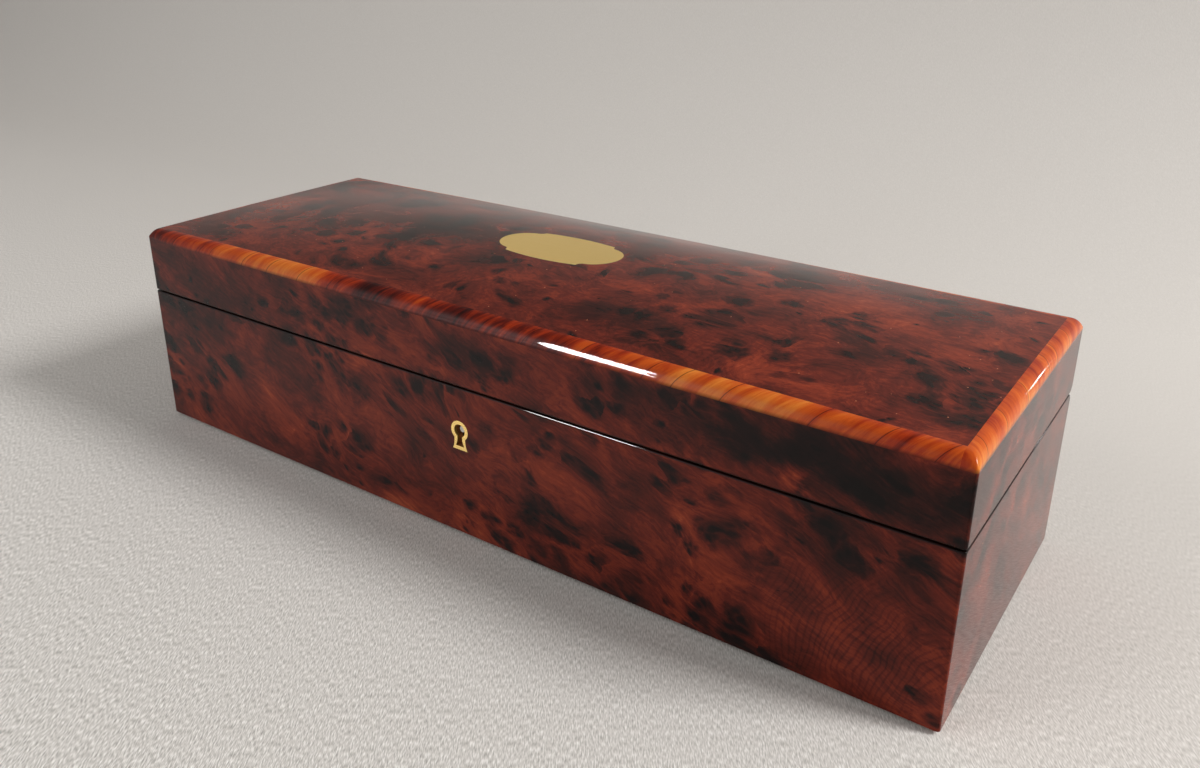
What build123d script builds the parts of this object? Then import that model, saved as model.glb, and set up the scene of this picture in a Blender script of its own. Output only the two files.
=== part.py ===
from build123d import *
import os
from math import radians, tan

os.makedirs("parts", exist_ok=True)

# A glove box: a dovetailed wooden case with sawn burl veneer, a cushion-domed lid with a
# crossband let into its top edges, brass inlays, two let-in butt hinges, a half-mortise lock
# and a padded lining. Origin: centre of the underside. +X runs along the length, -Y is the
# front, +Z is up. Millimetres.

# The case, over its veneers
box_length = 300.0
box_depth = 103.0
body_height = 50.0
lid_side_height = 23.1
dome_rise = 7.0
parting_gap = 0.5
corner_radius = 0.9
eased_edge = 0.4

# Wood
board_thickness = 7.0
veneer_thickness = 1.0
bottom_board_thickness = 5.0
top_board_thickness = 6.0
tail_slope = 9.0
tail_pitch = 15.0
tail_width = 9.3

# Crossband round the top edges of the lid
crossband_width = 4.0
crossband_height = 3.8
crossband_round = 3.3
roll_weight = 0.75

# Thin cover under the base
base_cover_thickness = 1.2
base_cover_inset = 3.0
base_cover_corner = 4.0

# Brass cartouche, flush in the lid's veneer
cartouche_half_length = 22.8
cartouche_half_width = 12.5
cartouche_cusp_x = 14.0
cartouche_cusp_y = 11.0
cartouche_step_x = 15.3
cartouche_step_y = 9.0
cartouche_hollow = 0.35

# Keyhole and its brass surround, flush in the front veneer
keyhole_drop = 14.3
keyhole_head_radius = 2.1
keyhole_waist = 1.9
keyhole_waist_drop = 2.9
keyhole_foot = 3.4
keyhole_foot_drop = 5.2
keyhole_flank_start = 0.95
escutcheon_rim = 1.2

# Hinges, with their axis inside the back edge and bevels that stop the lid
hinge_spacing = 190.0
hinge_length = 28.0
hinge_inset = 2.5
hinge_leaf_width = 4.8
hinge_leaf_thickness = 0.9
hinge_barrel_radius = 1.5
hinge_pin_radius = 0.6
hinge_pin_clearance = 0.05
hinge_knuckle_gap = 0.15
hinge_knuckles = 5
hinge_recess_clearance = 0.3
hinge_screw_pitch = 18.0
hinge_screw_setback = 3.3
hinge_screw_length = 6.0
stop_angle = 96.0

# Countersunk screws
screw_shank_radius = 0.6
screw_head_radius = 1.15

# Half-mortise lock
lock_length = 34.0
lock_height = 24.0
lock_depth = 5.4
lock_plate_thickness = 1.0
selvedge_width = 5.8
lock_cap_margin = 4.0
lock_cap_height = 22.5
lock_cap_wall = 0.8
lock_screw_margin = 2.0
lock_screw_length = 5.0
lock_screw_drop = 19.0
key_pin_radius = 1.0
key_pin_length = 5.6
bolt_thickness = 1.0
bolt_travel = 4.0
bolt_room = 0.5
bolt_right = 2.0
bolt_height = 7.3
bolt_drop = 2.9
bolt_tongue_height = 2.0
bolt_notch_width = 2.5
bolt_notch_height = 1.8
bolt_clearance = 0.35
stud_radius = 0.8
stud_x = -2.9
spring_thickness = 0.4
spring_width = 1.4
spring_right = 3.0
spring_sag = 1.0

# Strike plate with its staple, in the lid
strike_plate_thickness = 1.0
strike_screw_margin = 4.0
staple_x = 6.6
staple_thickness = 1.5
staple_width = 2.8
staple_reach = 7.0
staple_slot_clearance = 0.4

# Padded lining
wall_pad_thickness = 4.0
wall_pad_drop = 1.2
wall_pad_round = 1.6
base_pad_thickness = 8.0
lid_pad_thickness = 8.0
pad_round = 3.0
pad_clearance = 0.3
lock_window_margin = 1.5
button_radius = 3.4
button_height = 2.0
button_bevel = 1.2
button_pitch_x = 54.0
button_pitch_y = 38.0
button_columns = 5
dimple_depth = 4.0
dimple_flare = 5.0

# Levels and faces that follow from the sizes above
half_length = box_length / 2
half_depth = box_depth / 2
carcass_x = half_length - veneer_thickness
carcass_y = half_depth - veneer_thickness
inner_x = carcass_x - board_thickness
inner_y = carcass_y - board_thickness
case_foot = base_cover_thickness
floor_top = case_foot + bottom_board_thickness
body_top = case_foot + body_height
lid_bottom = body_top + parting_gap
rim = lid_bottom + lid_side_height
crossband_foot = rim - crossband_height
top_board_foot = rim - top_board_thickness
hinge_y = half_depth - hinge_inset
hinge_z = (body_top + lid_bottom) / 2
field_x = half_length - crossband_width
field_y = half_depth - crossband_width
lock_back = inner_y + lock_plate_thickness
lock_front = inner_y + lock_depth
lock_middle = (lock_back + lock_front - lock_cap_wall) / 2


def block(x_low, x_high, y_low, y_high, z_low, z_high, mode=Mode.ADD):
    """A block between two corners, drawn as a rectangle and extruded upwards."""
    with BuildSketch(Plane.XY.offset(z_low)) as base:
        with Locations(((x_low + x_high) / 2, (y_low + y_high) / 2)):
            Rectangle(x_high - x_low, y_high - y_low)
    extrude(base.sketch, amount=z_high - z_low, mode=mode)


def rod(start, length, radius, mode=Mode.ADD):
    """A round rod along X on the hinge axis."""
    with BuildSketch(Plane.YZ.offset(start)) as section:
        with Locations((hinge_y, hinge_z)):
            Circle(radius)
    extrude(section.sketch, amount=length, mode=mode)


def save(piece, name):
    """Label a finished piece and write it under its own name."""
    piece.part.label = name
    export_step(piece.part, f"parts/{name}.step")


# Outlines and screws that several pieces share


def keyhole_outline(grow=0.0):
    """A round head on a foot with hollow flanks and a flat bottom, centred on the head."""
    head = keyhole_head_radius + grow
    waist = keyhole_waist / 2 + grow
    foot = keyhole_foot / 2 + grow
    shoulder = (head**2 - waist**2) ** 0.5 * keyhole_flank_start
    Circle(head)
    with BuildLine() as leg:
        right_flank = ThreePointArc(
            (waist, -shoulder),
            (waist, -keyhole_waist_drop - grow / 2),
            (foot, -keyhole_foot_drop - grow),
        )
        mirror(right_flank, about=Plane.YZ)
        Line((-waist, -shoulder), (waist, -shoulder))
        Line((-foot, -keyhole_foot_drop - grow), (foot, -keyhole_foot_drop - grow))
    make_face(leg.edges())


def cartouche_outline():
    """Two long convex sides between four cusps, a short hollow step, and a lobe at each end."""
    hollow = (
        cartouche_cusp_x + (cartouche_step_x - cartouche_cusp_x) * cartouche_hollow,
        cartouche_step_y + (cartouche_cusp_y - cartouche_step_y) * cartouche_hollow,
    )
    with BuildLine() as edge:
        side = ThreePointArc(
            (-cartouche_cusp_x, cartouche_cusp_y),
            (0, cartouche_half_width),
            (cartouche_cusp_x, cartouche_cusp_y),
        )
        step = ThreePointArc(side @ 1, hollow, (cartouche_step_x, cartouche_step_y))
        mirror(step, about=Plane.YZ)
        mirror(about=Plane.XZ)
        lobe = ThreePointArc(
            (cartouche_step_x, cartouche_step_y),
            (cartouche_half_length, 0),
            (cartouche_step_x, -cartouche_step_y),
        )
        mirror(lobe, about=Plane.YZ)
    make_face(edge.edges())


def screws(plane, places, length):
    """Countersunk screws with their heads flush in a plane, pointing along its normal."""
    with BuildSketch(plane) as heads:
        with Locations(*places):
            Circle(screw_head_radius)
    extrude(heads.sketch, amount=screw_head_radius - screw_shank_radius, taper=45)
    with BuildSketch(plane) as shanks:
        with Locations(*places):
            Circle(screw_shank_radius)
    extrude(shanks.sketch, amount=length)


# The crown of the lid. Its height above the straight edges falls off with the square of the
# distance along both axes, so each patch of it needs only three by three control points. The
# outer zone of each axis rolls over from the dome's own slope to the upright sides.


def crown_zones(half_span):
    """Three zones across the lid, each with three controls: where it lies, its share of the
    rise (none at the foot of the roll-over) and its weight."""
    turn = half_span - crossband_round
    turn_share = 1 - (turn / half_span) ** 2
    turn_slope = -2 * turn / half_span**2
    roll = [
        (turn, turn_share, 1),
        (half_span, turn_share + turn_slope * crossband_round, roll_weight),
        (half_span, None, 1),
    ]
    mirrored = [(-place, share, weight) for place, share, weight in reversed(roll)]
    middle = [(-turn, turn_share, 1), (0, 2 - turn_share, 1), (turn, turn_share, 1)]
    return [mirrored, middle, roll]


def whole_span(half_span):
    """One zone over the whole lid, with no roll-over."""
    return [(-half_span, 0, 1), (0, 2, 1), (half_span, 0, 1)]


def crown_level(x_share, y_share):
    """The level of a control point from its shares of the rise along the two axes."""
    if x_share is None or y_share is None:
        return rim - crossband_round
    return rim + dome_rise * x_share * y_share


def crown_patch(x_zone, y_zone):
    """A patch of the crown over one zone of each axis."""
    controls = [
        [Vector(x, y, crown_level(x_share, y_share)) for y, y_share, _ in y_zone]
        for x, x_share, _ in x_zone
    ]
    weights = [[x_weight * y_weight for _, _, y_weight in y_zone] for _, _, x_weight in x_zone]
    return Face.make_bezier_surface(controls, weights)


def upright_side(corner_a, corner_b):
    """One side of the lid, from its bottom edge to the foot of the roll-over."""
    start = Vector(*corner_a)
    along = (Vector(*corner_b) - start).normalized() * crossband_round
    end = Vector(*corner_b)
    bottom = Vector(0, 0, lid_bottom)
    top = Vector(0, 0, rim - crossband_round)
    lower_edge = [start + bottom, end + bottom]
    upper_edge = [end + top, end - along + top, start + along + top, start + top]
    return Face(Wire.make_polygon(lower_edge + upper_edge))


plan_corners = [
    (-half_length, -half_depth, 0),
    (half_length, -half_depth, 0),
    (half_length, half_depth, 0),
    (-half_length, half_depth, 0),
]
crown = [
    crown_patch(x_zone, y_zone)
    for x_zone in crown_zones(half_length)
    for y_zone in crown_zones(half_depth)
]
sides = [upright_side(plan_corners[number - 1], plan_corners[number]) for number in range(4)]
underside = Face(Wire.make_polygon([Vector(x, y, lid_bottom) for x, y, _ in plan_corners]))
lid_blank = Solid(Shell(crown + sides + [underside]))

lid_depth = lid_side_height + dome_rise

# Hinge screws, all four leaves
hinge_centres = (-hinge_spacing / 2, hinge_spacing / 2)
hinge_screw_places = [
    (x + side * hinge_screw_pitch / 2, hinge_y - hinge_screw_setback)
    for x in hinge_centres
    for side in (-1, 1)
]
face_down = Plane(origin=(0, 0, body_top), x_dir=(1, 0, 0), z_dir=(0, 0, -1))
with BuildPart() as body_hinge_screws:
    screws(face_down, [(x, -y) for x, y in hinge_screw_places], hinge_screw_length)
with BuildPart() as lid_hinge_screws:
    screws(Plane.XY.offset(lid_bottom), hinge_screw_places, hinge_screw_length)

# Room let into both edges for the leaves and round the barrels
recess_radius = hinge_barrel_radius + hinge_recess_clearance
with BuildPart() as hinge_seats:
    for x in hinge_centres:
        block(
            x - hinge_length / 2,
            x + hinge_length / 2,
            hinge_y - hinge_leaf_width,
            hinge_y,
            body_top - hinge_leaf_thickness,
            lid_bottom + hinge_leaf_thickness,
        )
        recess_start = x - hinge_length / 2 - hinge_recess_clearance
        rod(recess_start, hinge_length + 2 * hinge_recess_clearance, recess_radius)

# Groove along the back: its two bevels meet when the lid is fully open
bevel_run = hinge_inset + 1
bevel_rise = bevel_run * tan(radians(stop_angle / 2))
with BuildPart() as stop_groove:
    with BuildSketch(Plane.YZ):
        Polygon(
            (hinge_y, lid_bottom),
            (hinge_y, body_top),
            (hinge_y + bevel_run, body_top - bevel_rise),
            (hinge_y + bevel_run, lid_bottom + bevel_rise),
            align=None,
        )
    extrude(amount=half_length + 1, both=True)

# Outer forms that the veneers, boards and crossbands are cut from
with BuildPart() as body_form:
    block(-half_length, half_length, -half_depth, half_depth, case_foot, body_top)
    fillet(body_form.edges().filter_by(Axis.Z), radius=corner_radius)
    fillet(body_form.faces().sort_by(Axis.Z)[-1].edges(), radius=eased_edge)
    add(stop_groove.part, mode=Mode.SUBTRACT)
    add(hinge_seats.part, mode=Mode.SUBTRACT)

with BuildPart() as lid_form:
    add(lid_blank)
    with BuildSketch(Plane.XY.offset(lid_bottom)):
        RectangleRounded(box_length, box_depth, corner_radius)
    extrude(amount=lid_depth, mode=Mode.INTERSECT)
    fillet(lid_form.faces().sort_by(Axis.Z)[0].edges(), radius=eased_edge)
    add(stop_groove.part, mode=Mode.SUBTRACT)
    add(hinge_seats.part, mode=Mode.SUBTRACT)

# The board under the veneer has the same dome, one veneer lower
dome_face = crown_patch(whole_span(half_length), whole_span(half_depth))
with BuildPart() as dome_core:
    extrude(Pos(0, 0, -veneer_thickness) * dome_face, amount=2 * lid_depth, dir=(0, 0, -1))


# Lock, let into the inner face and top edge of the front board

lock_screw_x = lock_length / 2 - lock_screw_margin
with BuildPart() as lock_screws:
    screws(
        Plane.XZ.offset(inner_y),
        [(side * lock_screw_x, body_top - lock_screw_drop) for side in (-1, 1)],
        lock_screw_length,
    )
    screws(
        face_down,
        [(side * lock_screw_x, lock_middle) for side in (-1, 1)],
        lock_screw_length,
    )

bolt_top = body_top - bolt_drop
bolt_foot = bolt_top - bolt_height
stud_z = (bolt_foot + bolt_top) / 2
selvedge_foot = body_top - lock_plate_thickness
cap_foot = body_top - lock_cap_height
cap_x = lock_length / 2 - lock_cap_margin
bolt_left = bolt_room + lock_cap_wall - cap_x
keyhole_z = body_top - keyhole_drop

# The plate and its selvedge are one bent piece of brass, with the bolt's guide stud riveted in
with BuildPart() as bent_plate:
    block(-lock_length / 2, lock_length / 2, -lock_back, -inner_y, body_top - lock_height, body_top)
    block(
        -lock_length / 2,
        lock_length / 2,
        -inner_y - selvedge_width,
        -inner_y,
        selvedge_foot,
        body_top,
    )

with BuildPart() as lock_plate:
    add(bent_plate.part)
    block(
        staple_x - staple_slot_clearance,
        staple_x + staple_thickness + staple_slot_clearance,
        -lock_middle - staple_width / 2 - staple_slot_clearance,
        -lock_middle + staple_width / 2 + staple_slot_clearance,
        selvedge_foot,
        body_top,
        mode=Mode.SUBTRACT,
    )
    with BuildSketch(Plane.XZ.offset(lock_back)):
        with Locations((stud_x, stud_z)):
            Circle(stud_radius)
    extrude(amount=lock_front - lock_cap_wall - lock_back)
    add(lock_screws.part, mode=Mode.SUBTRACT)
save(lock_plate, "lock_plate")
save(lock_screws, "lock_screws")

keyhole_plane = Plane(origin=(0, -lock_back, keyhole_z), x_dir=(1, 0, 0), z_dir=(0, -1, 0))
with BuildPart() as keyhole_way:
    with BuildSketch(keyhole_plane):
        keyhole_outline()
    extrude(amount=half_depth - lock_back)

with BuildPart() as lock_cap:
    block(-cap_x, cap_x, -lock_front, -lock_back, cap_foot, selvedge_foot)
    block(
        -cap_x + lock_cap_wall,
        cap_x - lock_cap_wall,
        -lock_front + lock_cap_wall,
        -lock_back,
        cap_foot + lock_cap_wall,
        selvedge_foot,
        mode=Mode.SUBTRACT,
    )
    add(keyhole_way.part, mode=Mode.SUBTRACT)
save(lock_cap, "lock_cap")

with BuildPart() as key_pin:
    with BuildSketch(keyhole_plane):
        Circle(key_pin_radius)
    extrude(amount=key_pin_length)
save(key_pin, "key_pin")

# The bolt is drawn back, so the lid can open; the key throws it to +X through the staple
with BuildPart() as lock_bolt:
    with BuildSketch(Plane.XZ.offset(lock_middle - bolt_thickness / 2)):
        with Locations(((bolt_left + bolt_right) / 2, (bolt_foot + bolt_top) / 2)):
            Rectangle(bolt_right - bolt_left, bolt_height)
        with Locations((bolt_right, bolt_top)):
            Rectangle(
                staple_x - bolt_clearance - bolt_right,
                bolt_tongue_height,
                align=(Align.MIN, Align.MAX),
            )
        with Locations((-bolt_travel / 2, bolt_foot)):
            Rectangle(
                bolt_notch_width,
                bolt_notch_height,
                align=(Align.CENTER, Align.MIN),
                mode=Mode.SUBTRACT,
            )
        with Locations((stud_x - bolt_travel / 2, stud_z)):
            SlotCenterToCenter(bolt_travel, 2 * (stud_radius + bolt_clearance), mode=Mode.SUBTRACT)
    extrude(amount=bolt_thickness)
save(lock_bolt, "lock_bolt")

with BuildPart() as lock_spring:
    spring_left = lock_cap_wall - cap_x
    spring_middle = (spring_left + spring_right) / 2
    with BuildSketch(Plane.XZ.offset(lock_middle - spring_width / 2)):
        with BuildLine():
            back = ThreePointArc(
                (spring_left, selvedge_foot),
                (spring_middle, selvedge_foot - spring_sag),
                (spring_right, selvedge_foot),
            )
            belly = ThreePointArc(
                (spring_left, selvedge_foot - spring_thickness),
                (spring_middle, selvedge_foot - spring_sag - spring_thickness),
                (spring_right, selvedge_foot - spring_thickness),
            )
            Line(back @ 0, belly @ 0)
            Line(back @ 1, belly @ 1)
        make_face()
    extrude(amount=spring_width)
save(lock_spring, "lock_spring")

# Everything that the front board is cut away for
with BuildPart() as lock_mortise:
    add(bent_plate.part)
    block(-cap_x, cap_x, -lock_front, -lock_back, cap_foot, selvedge_foot)
    add(lock_screws.part)
    add(keyhole_way.part)

# Strike plate in the lid's front rail, with the staple that the bolt passes through
strike_screw_x = lock_length / 2 - strike_screw_margin
with BuildPart() as strike_screws:
    screws(
        Plane.XY.offset(lid_bottom),
        [(side * strike_screw_x, -lock_middle) for side in (-1, 1)],
        lock_screw_length,
    )
save(strike_screws, "strike_screws")

tongue_foot = bolt_top - bolt_tongue_height
with BuildPart() as strike_plate:
    block(
        -lock_length / 2,
        lock_length / 2,
        -inner_y - selvedge_width,
        -inner_y,
        lid_bottom,
        lid_bottom + strike_plate_thickness,
    )
    block(
        staple_x,
        staple_x + staple_thickness,
        -lock_middle - staple_width / 2,
        -lock_middle + staple_width / 2,
        lid_bottom - staple_reach,
        lid_bottom,
    )
    block(
        staple_x,
        staple_x + staple_thickness,
        -lock_middle - bolt_thickness / 2 - bolt_clearance,
        -lock_middle + bolt_thickness / 2 + bolt_clearance,
        tongue_foot - bolt_clearance,
        bolt_top + bolt_clearance,
        mode=Mode.SUBTRACT,
    )
    add(strike_screws.part, mode=Mode.SUBTRACT)
save(strike_plate, "strike_plate")


# Carcass: end boards carry the tails, front and back boards the pins that fit between them


def end_board_outline(foot, top):
    """The face of an end board: a plain middle, with a row of dovetails at each end."""
    tails = max(1, round((top - foot) / tail_pitch))
    spacing = (top - foot) / tails
    root_width = tail_width - 2 * board_thickness * tan(radians(tail_slope))
    with Locations((0, (foot + top) / 2)):
        Rectangle(2 * inner_y, top - foot)
    for side in (-1, 1):
        for row in range(tails):
            middle = foot + spacing * (row + 0.5)
            Polygon(
                (side * inner_y, middle - root_width / 2),
                (side * carcass_y, middle - tail_width / 2),
                (side * carcass_y, middle + tail_width / 2),
                (side * inner_y, middle + root_width / 2),
                align=None,
            )


walls = (
    ("body", floor_top, body_top, body_form, body_hinge_screws),
    ("lid", lid_bottom, top_board_foot, lid_form, lid_hinge_screws),
)
for wall_name, foot, top, form, hinge_screws in walls:
    ends = []
    for side, low_x in (("left", -carcass_x), ("right", inner_x)):
        with BuildPart() as end_board:
            with BuildSketch(Plane.YZ.offset(low_x)):
                end_board_outline(foot, top)
            extrude(amount=board_thickness)
            add(form.part, mode=Mode.INTERSECT)
        save(end_board, f"{wall_name}_{side}_board")
        ends.append(end_board.part)
    for side, low_y in (("front", -carcass_y), ("back", inner_y)):
        with BuildPart() as long_board:
            block(-carcass_x, carcass_x, low_y, low_y + board_thickness, foot, top)
            add(form.part, mode=Mode.INTERSECT)
            add(ends, mode=Mode.SUBTRACT)
            add(hinge_screws.part, mode=Mode.SUBTRACT)
            if side == "front" and wall_name == "body":
                add(lock_mortise.part, mode=Mode.SUBTRACT)
            if side == "front" and wall_name == "lid":
                add(strike_screws.part, mode=Mode.SUBTRACT)
                add(strike_plate.part, mode=Mode.SUBTRACT)
        save(long_board, f"{wall_name}_{side}_board")

with BuildPart() as bottom_board:
    block(-carcass_x, carcass_x, -carcass_y, carcass_y, case_foot, floor_top)
save(bottom_board, "bottom_board")

with BuildPart() as base_cover:
    block(
        base_cover_inset - half_length,
        half_length - base_cover_inset,
        base_cover_inset - half_depth,
        half_depth - base_cover_inset,
        0,
        base_cover_thickness,
    )
    fillet(base_cover.edges().filter_by(Axis.Z), radius=base_cover_corner)
save(base_cover, "base_cover")

# The lid's board lies on the rails, rebated for the crossband and planed to the dome
with BuildPart() as top_board:
    block(-carcass_x, carcass_x, -carcass_y, carcass_y, top_board_foot, crossband_foot)
    block(-field_x, field_x, -field_y, field_y, crossband_foot, rim + dome_rise)
    add(dome_core.part, mode=Mode.INTERSECT)
save(top_board, "top_board")


# Veneers: front and back lap over the ends

with BuildPart() as escutcheon:
    with BuildSketch(Plane(origin=(0, -carcass_y, keyhole_z), x_dir=(1, 0, 0), z_dir=(0, -1, 0))):
        keyhole_outline(escutcheon_rim)
    extrude(amount=veneer_thickness)
    add(keyhole_way.part, mode=Mode.SUBTRACT)
save(escutcheon, "escutcheon")

for wall_name, foot, top, form in (
    ("body", case_foot, body_top, body_form),
    ("lid", lid_bottom, crossband_foot, lid_form),
):
    for side, low_y in (("front", -half_depth), ("back", carcass_y)):
        with BuildPart() as long_veneer:
            block(-half_length, half_length, low_y, low_y + veneer_thickness, foot, top)
            add(form.part, mode=Mode.INTERSECT)
            if side == "front" and wall_name == "body":
                add(escutcheon.part, mode=Mode.SUBTRACT)
                add(keyhole_way.part, mode=Mode.SUBTRACT)
        save(long_veneer, f"{wall_name}_{side}_veneer")
    for side, low_x in (("left", -half_length), ("right", carcass_x)):
        with BuildPart() as end_veneer:
            block(low_x, low_x + veneer_thickness, -carcass_y, carcass_y, foot, top)
            add(form.part, mode=Mode.INTERSECT)
        save(end_veneer, f"{wall_name}_{side}_veneer")

# Crossband: the end strips run the full depth, and the long ones butt between them
for side, low_x in (("left", -half_length), ("right", field_x)):
    with BuildPart() as end_band:
        block(low_x, low_x + crossband_width, -half_depth, half_depth, crossband_foot, rim + dome_rise)
        add(lid_form.part, mode=Mode.INTERSECT)
    save(end_band, f"crossband_{side}")
for side, low_y in (("front", -half_depth), ("back", field_y)):
    with BuildPart() as long_band:
        block(-field_x, field_x, low_y, low_y + crossband_width, crossband_foot, rim + dome_rise)
        add(lid_form.part, mode=Mode.INTERSECT)
    save(long_band, f"crossband_{side}")

# The field of the lid and the brass plate share one layer that follows the dome
with BuildPart() as cartouche:
    with BuildSketch(Plane.XY.offset(crossband_foot)):
        cartouche_outline()
    extrude(amount=lid_depth)
    add(lid_form.part, mode=Mode.INTERSECT)
    add(dome_core.part, mode=Mode.SUBTRACT)
save(cartouche, "cartouche")

with BuildPart() as top_veneer:
    block(-field_x, field_x, -field_y, field_y, crossband_foot, rim + dome_rise)
    add(lid_form.part, mode=Mode.INTERSECT)
    add(dome_core.part, mode=Mode.SUBTRACT)
    add(cartouche.part, mode=Mode.SUBTRACT)
save(top_veneer, "top_veneer")


# Butt hinges: body leaves have the outer and middle knuckles, lid leaves the two between

knuckle_length = hinge_length / hinge_knuckles


def hinge_leaf(centre, z_low, first_knuckle, gap, bore):
    """One leaf with every second knuckle, cut clear of the other leaf's knuckles."""
    start = centre - hinge_length / 2
    block(
        start,
        start + hinge_length,
        hinge_y - hinge_leaf_width,
        hinge_y,
        z_low,
        z_low + hinge_leaf_thickness,
    )
    for number in range(1 - first_knuckle, hinge_knuckles, 2):
        cut_start = start + number * knuckle_length - gap
        rod(cut_start, knuckle_length + 2 * gap, recess_radius, mode=Mode.SUBTRACT)
    for number in range(first_knuckle, hinge_knuckles, 2):
        rod(start + number * knuckle_length + gap, knuckle_length - 2 * gap, hinge_barrel_radius)
    rod(start, hinge_length, bore, mode=Mode.SUBTRACT)


with BuildPart() as body_hinge_leaves:
    for x in hinge_centres:
        hinge_leaf(x, body_top - hinge_leaf_thickness, 0, 0, hinge_pin_radius)
    add(body_hinge_screws.part, mode=Mode.SUBTRACT)
save(body_hinge_leaves, "body_hinge_leaves")
save(body_hinge_screws, "body_hinge_screws")

with BuildPart() as lid_hinge_leaves:
    for x in hinge_centres:
        hinge_leaf(x, lid_bottom, 1, hinge_knuckle_gap, hinge_pin_radius + hinge_pin_clearance)
    add(lid_hinge_screws.part, mode=Mode.SUBTRACT)
save(lid_hinge_leaves, "lid_hinge_leaves")
save(lid_hinge_screws, "lid_hinge_screws")

with BuildPart() as hinge_pins:
    for x in hinge_centres:
        rod(x - hinge_length / 2, hinge_length, hinge_pin_radius)
save(hinge_pins, "hinge_pins")


# Padded lining: wall pads glued to the boards, buttoned pads on the floor and in the lid

pad_top = body_top - wall_pad_drop
for side, low_y in (("front", -inner_y), ("back", inner_y - wall_pad_thickness)):
    with BuildPart() as long_pad:
        block(-inner_x, inner_x, low_y, low_y + wall_pad_thickness, floor_top, pad_top)
        inner_edge = long_pad.edges().filter_by(Axis.X).group_by(Axis.Z)[-1]
        fillet(inner_edge, radius=wall_pad_round)
        if side == "front":
            block(
                -lock_length / 2 - lock_window_margin,
                lock_length / 2 + lock_window_margin,
                low_y,
                low_y + wall_pad_thickness,
                body_top - lock_height - lock_window_margin,
                pad_top,
                mode=Mode.SUBTRACT,
            )
    save(long_pad, f"{side}_pad")

end_pad_y = inner_y - wall_pad_thickness
for side, low_x in (("left", -inner_x), ("right", inner_x - wall_pad_thickness)):
    with BuildPart() as end_pad:
        block(low_x, low_x + wall_pad_thickness, -end_pad_y, end_pad_y, floor_top, pad_top)
        inner_edge = end_pad.edges().filter_by(Axis.Y).group_by(Axis.Z)[-1]
        fillet(inner_edge, radius=wall_pad_round)
    save(end_pad, f"{side}_pad")


def button_places(level=0.0):
    """Rows of buttons set in quincunx: two full rows with a shorter row between them."""
    outer_rows = GridLocations(button_pitch_x, button_pitch_y, button_columns, 2)
    middle_row = GridLocations(button_pitch_x, button_pitch_y, button_columns - 1, 1)
    return [Location((0, 0, level)) * place for place in outer_rows.locations + middle_row.locations]


base_pad_top = floor_top + base_pad_thickness
base_pad_x = inner_x - wall_pad_thickness - pad_clearance
base_pad_y = inner_y - wall_pad_thickness - pad_clearance
with BuildPart() as base_pad:
    block(-base_pad_x, base_pad_x, -base_pad_y, base_pad_y, floor_top, base_pad_top)
    fillet(base_pad.edges().filter_by(Axis.Z), radius=pad_round)
    fillet(base_pad.faces().sort_by(Axis.Z)[-1].edges(), radius=pad_round)
    with Locations(*button_places(base_pad_top)):
        Cone(
            button_radius,
            button_radius + dimple_flare,
            dimple_depth,
            align=(Align.CENTER, Align.CENTER, Align.MAX),
            mode=Mode.SUBTRACT,
        )
save(base_pad, "base_pad")

lid_pad_foot = top_board_foot - lid_pad_thickness
with BuildPart() as lid_pad:
    block(
        pad_clearance - inner_x,
        inner_x - pad_clearance,
        pad_clearance - inner_y,
        inner_y - pad_clearance,
        lid_pad_foot,
        top_board_foot,
    )
    fillet(lid_pad.edges().filter_by(Axis.Z), radius=pad_round)
    fillet(lid_pad.faces().sort_by(Axis.Z)[0].edges(), radius=pad_round)
    with Locations(*button_places(lid_pad_foot)):
        Cone(
            button_radius + dimple_flare,
            button_radius,
            dimple_depth,
            align=(Align.CENTER, Align.CENTER, Align.MIN),
            mode=Mode.SUBTRACT,
        )
save(lid_pad, "lid_pad")

# Covered buttons, each seated on the floor of its dimple
with BuildPart() as base_buttons:
    with BuildSketch(Plane.XY.offset(base_pad_top - dimple_depth)):
        with Locations(*button_places()):
            Circle(button_radius)
    extrude(amount=button_height)
    chamfer(base_buttons.faces().group_by(Axis.Z)[-1].edges(), length=button_bevel)
save(base_buttons, "base_buttons")

with BuildPart() as lid_buttons:
    with BuildSketch(Plane.XY.offset(lid_pad_foot + dimple_depth)):
        with Locations(*button_places()):
            Circle(button_radius)
    extrude(amount=-button_height)
    chamfer(lid_buttons.faces().group_by(Axis.Z)[0].edges(), length=button_bevel)
save(lid_buttons, "lid_buttons")
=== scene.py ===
import math

import bpy
import numpy as np
from mathutils import Matrix, Vector


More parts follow.
